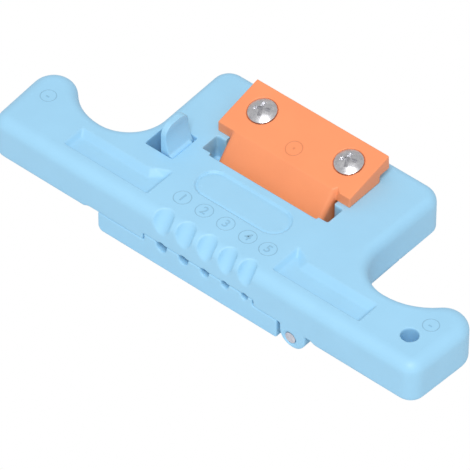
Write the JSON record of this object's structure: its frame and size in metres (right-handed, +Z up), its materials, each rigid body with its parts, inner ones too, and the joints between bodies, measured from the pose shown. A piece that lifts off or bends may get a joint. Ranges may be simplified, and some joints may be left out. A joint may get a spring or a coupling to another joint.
{
  "type": "fibre buffer tube stripper",
  "caption": "Hand tool that opens fibre buffer tubes mid-span: winged body, hinged grooved lid with a latch, and a removable blade cassette held by two screws.",
  "frame": {"origin": "middle of the lid's underside, which is the bottom middle of the bounding box", "axes": "+X along the wings towards the hang hole, +Y from the front face to the back edge, +Z up through the cassette"},
  "size_m": [0.1334, 0.0508, 0.0248],
  "materials": {
    "blue_plastic": "satin moulded plastic",
    "orange_plastic": "satin moulded plastic",
    "pin_steel": "ground",
    "screw_steel": "bright plated",
    "blade_steel": "ground",
    "insert_brass": "knurled brass"
  },
  "bodies": {
    "body": {"body": "blue_plastic", "hinge_pin": "pin_steel", "cassette_housing": "orange_plastic", "blade_keeper": "orange_plastic", "keeper_screws": "screw_steel", "blade_1": "blade_steel", "blade_2": "blade_steel", "blade_3": "blade_steel", "blade_4": "blade_steel", "blade_5": "blade_steel", "cassette_screw_left": "screw_steel", "cassette_screw_right": "screw_steel", "threaded_insert_left": "insert_brass", "threaded_insert_right": "insert_brass"},
    "lid": {"lid": "blue_plastic"},
    "latch": {"latch": "blue_plastic"}
  },
  "joints": [
    {"name": "lid_hinge", "type": "hinge", "parent": "body", "child": "lid", "pos_m": [0.0285, 0, 0.0028], "axis": [0, -1, 0], "range_deg": [0, 150]},
    {"name": "latch_flex", "type": "hinge", "parent": "lid", "child": "latch", "pos_m": [-0.0254, -0.00365, 0.0034], "axis": [0, -1, 0], "range_deg": [0, 7], "stiffness_Nm_per_rad": 0.8}
  ]
}
